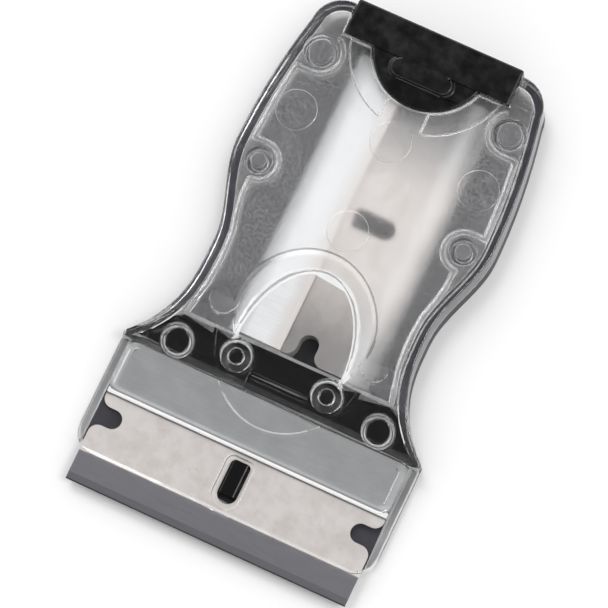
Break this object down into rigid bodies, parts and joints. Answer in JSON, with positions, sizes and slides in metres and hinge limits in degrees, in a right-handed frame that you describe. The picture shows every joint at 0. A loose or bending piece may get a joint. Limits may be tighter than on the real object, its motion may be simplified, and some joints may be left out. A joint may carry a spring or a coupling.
{
  "type": "razor blade scraper",
  "caption": "Pocket scraper: a black back shell and clear cover hold a single-edge blade at the front and spare blades behind a pull-out end cap.",
  "frame": {"origin": "under the middle of the whole tool, on the flat back that it lies on", "axes": "+X along the cutting edge, +Y from the cutting edge to the end cap, +Z from the back shell to the clear cover"},
  "size_m": [0.0404, 0.069, 0.0078],
  "materials": {
    "black_plastic": "black moulded plastic, gloss",
    "clear_plastic": "clear moulded plastic, polished",
    "cap_plastic": "black moulded plastic, satin",
    "blade_steel": "ground carbon steel",
    "spine_steel": "bright rolled steel"
  },
  "bodies": {
    "handle": {"back_shell": "black_plastic", "front_cover": "clear_plastic"},
    "blade_in_use": {"blade": "blade_steel", "blade_spine": "spine_steel"},
    "lock": {"lock_leaf": "black_plastic"},
    "cap": {"end_cap": "cap_plastic"},
    "spare_1": {"spare_blade_1": "blade_steel", "spare_spine_1": "spine_steel"},
    "spare_2": {"spare_blade_2": "blade_steel", "spare_spine_2": "spine_steel"},
    "spare_3": {"spare_blade_3": "blade_steel", "spare_spine_3": "spine_steel"}
  },
  "joints": [
    {"name": "blade_slide", "type": "slide", "parent": "handle", "child": "blade_in_use", "axis": [0, -1, 0], "range_m": [0, 0.0225], "deforming": ["lock_leaf"]},
    {"name": "lock_flex", "type": "hinge", "parent": "handle", "child": "lock", "pos_m": [0, -0.0139, 0.0008], "axis": [1, 0, 0], "range_deg": [0, 7], "stiffness_Nm_per_rad": 0.2},
    {"name": "cap_slide", "type": "slide", "parent": "handle", "child": "cap", "axis": [0, 1, 0], "range_m": [0, 0.05]},
    {"name": "spare_1_slide", "type": "slide", "parent": "handle", "child": "spare_1", "axis": [0, 1, 0], "range_m": [0, 0.0125]},
    {"name": "spare_2_slide", "type": "slide", "parent": "handle", "child": "spare_2", "axis": [0, 1, 0], "range_m": [0, 0.025]},
    {"name": "spare_3_slide", "type": "slide", "parent": "handle", "child": "spare_3", "axis": [0, 1, 0], "range_m": [0, 0.0425]}
  ],
  "couplings": [
    {"joint": "spare_1_slide", "follows": "cap_slide", "ratio": 0.25},
    {"joint": "spare_2_slide", "follows": "cap_slide", "ratio": 0.5},
    {"joint": "spare_3_slide", "follows": "cap_slide", "ratio": 0.85}
  ]
}
